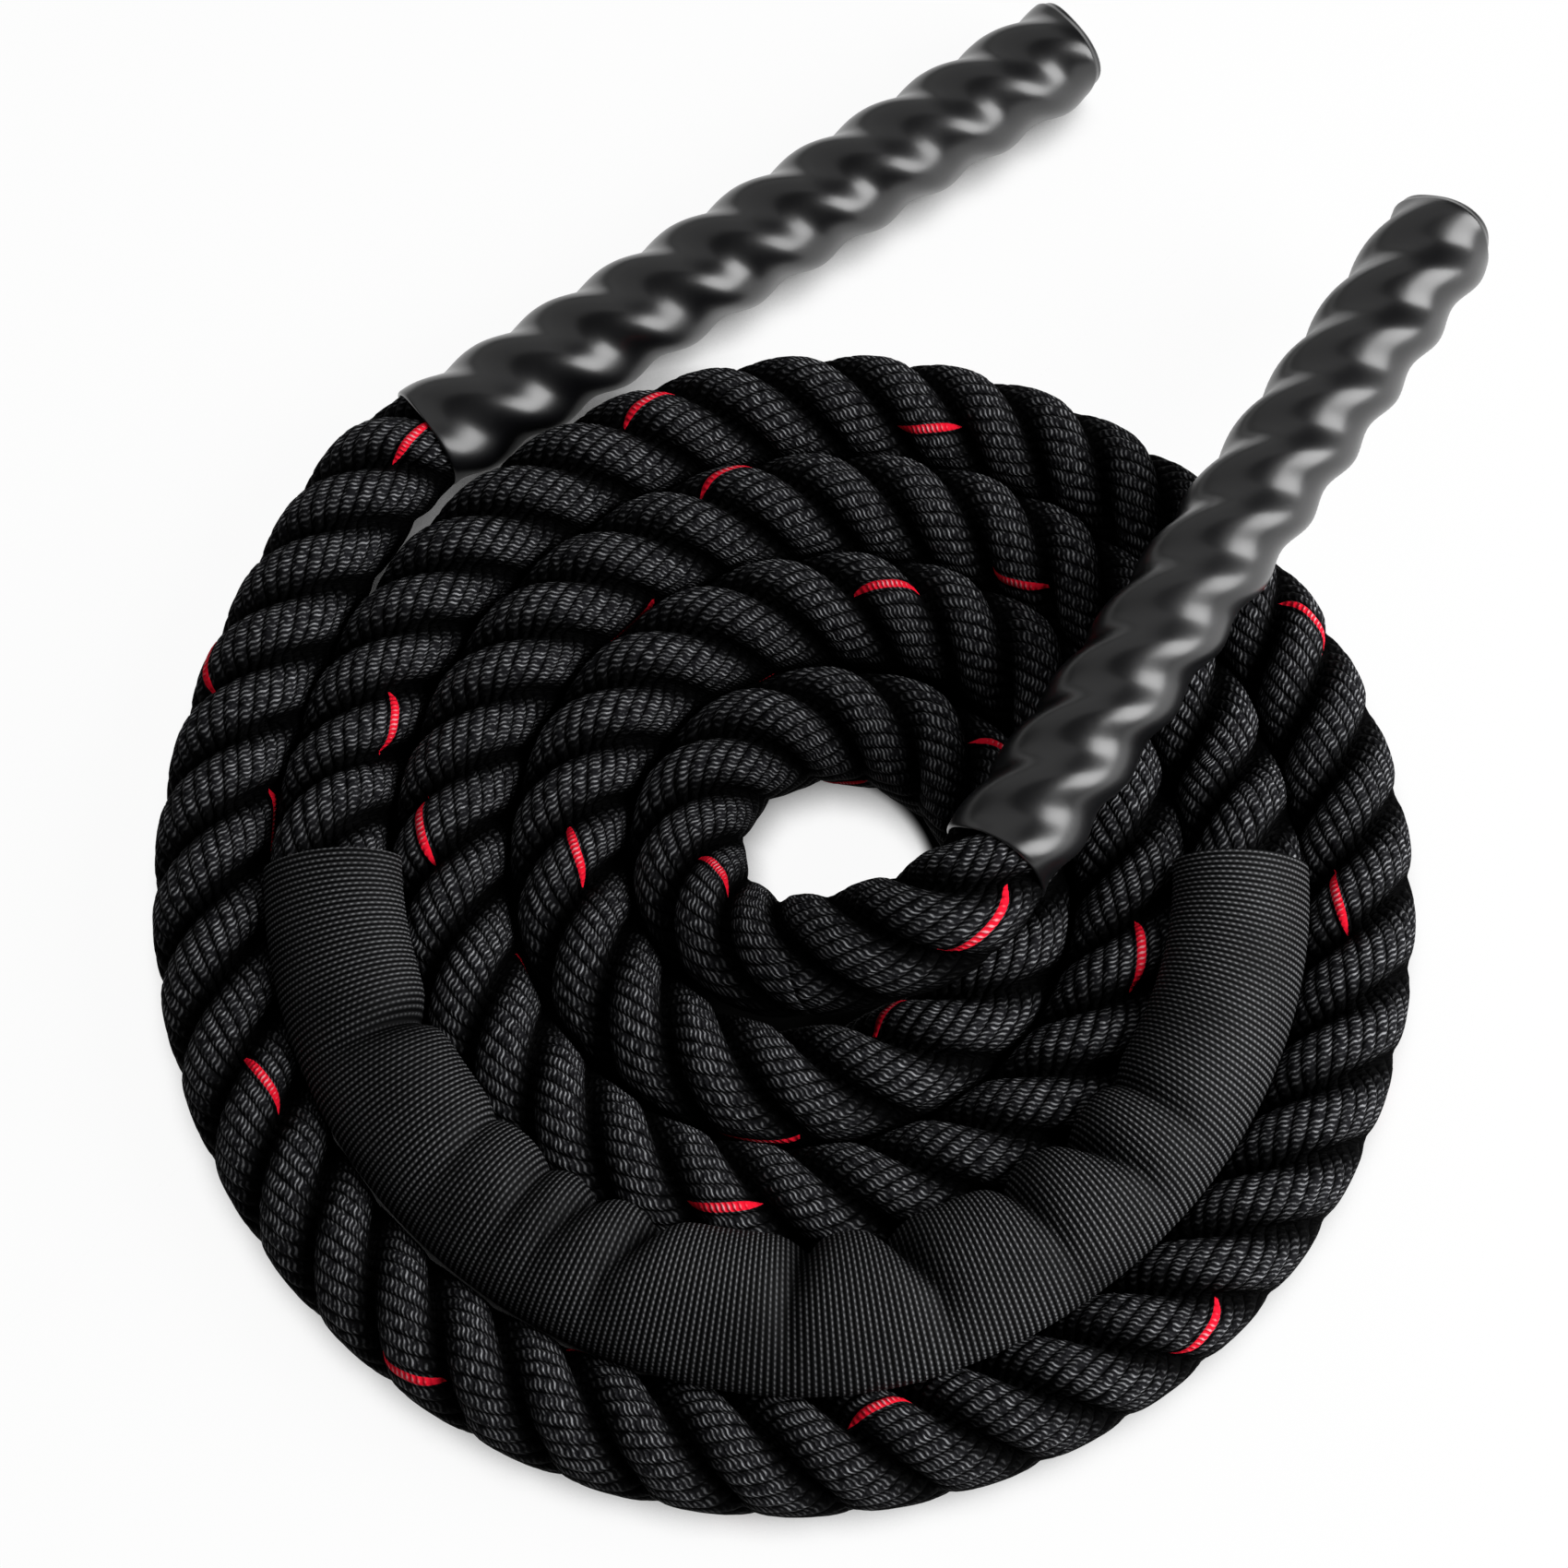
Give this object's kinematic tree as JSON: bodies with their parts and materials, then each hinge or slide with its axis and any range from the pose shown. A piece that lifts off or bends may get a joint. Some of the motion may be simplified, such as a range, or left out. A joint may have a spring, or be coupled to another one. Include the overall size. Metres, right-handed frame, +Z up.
{
  "type": "weighted jump rope",
  "caption": "Thick black three-strand jump rope lying in a flat coil, with two shrunk-tube grips and a woven sleeve over its middle.",
  "frame": {"origin": "on the floor, under the middle of the box round the two grips", "axes": "+Z up from the floor the coil lies on, -Y towards the camera of the picture"},
  "size_m": [0.3335, 0.4008, 0.0569],
  "materials": {
    "laid_rope": "matt braided yarn with a few red tracer yarns",
    "woven_sleeve": "matt ribbed weave",
    "shrunk_tube": "glossy",
    "binding_tape": "satin"
  },
  "bodies": {
    "coil": {"rope_coil": "laid_rope", "wear_sleeve": "woven_sleeve", "free_stretch_a": "laid_rope", "free_stretch_b": "laid_rope"},
    "grip_a": {"grip_a": "shrunk_tube", "rope_end_a": "laid_rope", "end_tape_a": "binding_tape"},
    "grip_b": {"grip_b": "shrunk_tube", "rope_end_b": "laid_rope", "end_tape_b": "binding_tape"}
  },
  "joints": [
    {"name": "grip_a_lift", "type": "hinge", "parent": "coil", "child": "grip_a", "pos_m": [-0.17561, -0.07801, 0.015], "axis": [0.6813, -0.732, 0], "range_deg": [0, 45], "deforming": ["free_stretch_a"]},
    {"name": "grip_b_lift", "type": "hinge", "parent": "coil", "child": "grip_b", "pos_m": [-0.03414, -0.14168, 0.027], "axis": [0.7572, -0.6531, 0], "range_deg": [0, 30], "deforming": ["free_stretch_b"]}
  ]
}
